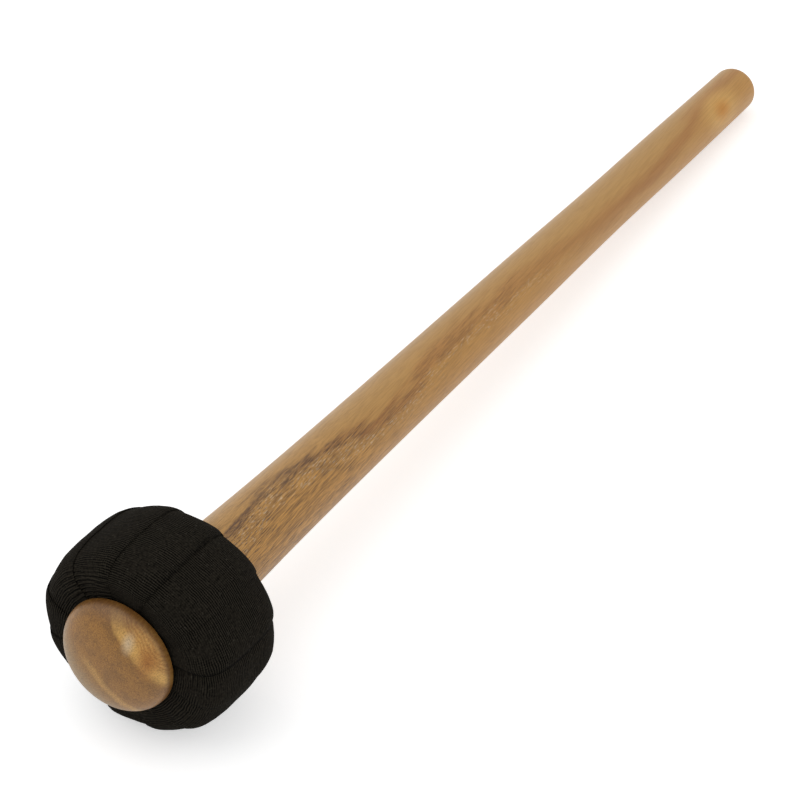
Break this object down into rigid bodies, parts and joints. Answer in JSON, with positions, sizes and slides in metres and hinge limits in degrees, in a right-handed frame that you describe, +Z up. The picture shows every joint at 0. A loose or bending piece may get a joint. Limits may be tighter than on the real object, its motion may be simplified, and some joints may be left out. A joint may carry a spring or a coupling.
{
  "type": "gong mallet",
  "caption": "Percussion mallet with a heavy cloth-wound head, a domed wooden knob in front and a long tapered wooden handle.",
  "frame": {"origin": "centre of the part's footprint on the table plane, lying as it rests: on the head's flattened cloth and on the butt", "axes": "+X along the stick from the head to the butt, +Z up from the table"},
  "size_m": [0.4123, 0.0643, 0.0639],
  "materials": {
    "oiled_wood": "turned hardwood, oiled, satin, with a dark heart streak",
    "ribbed_knit": "black ribbed knit cloth, slightly fuzzy",
    "felt": "grey wool felt",
    "core_rubber": "moulded, matte"
  },
  "bodies": {
    "root": {"handle": "oiled_wood", "knob": "oiled_wood", "wrap": "ribbed_knit", "padding": "felt", "core_ring": "core_rubber"}
  },
  "joints": []
}
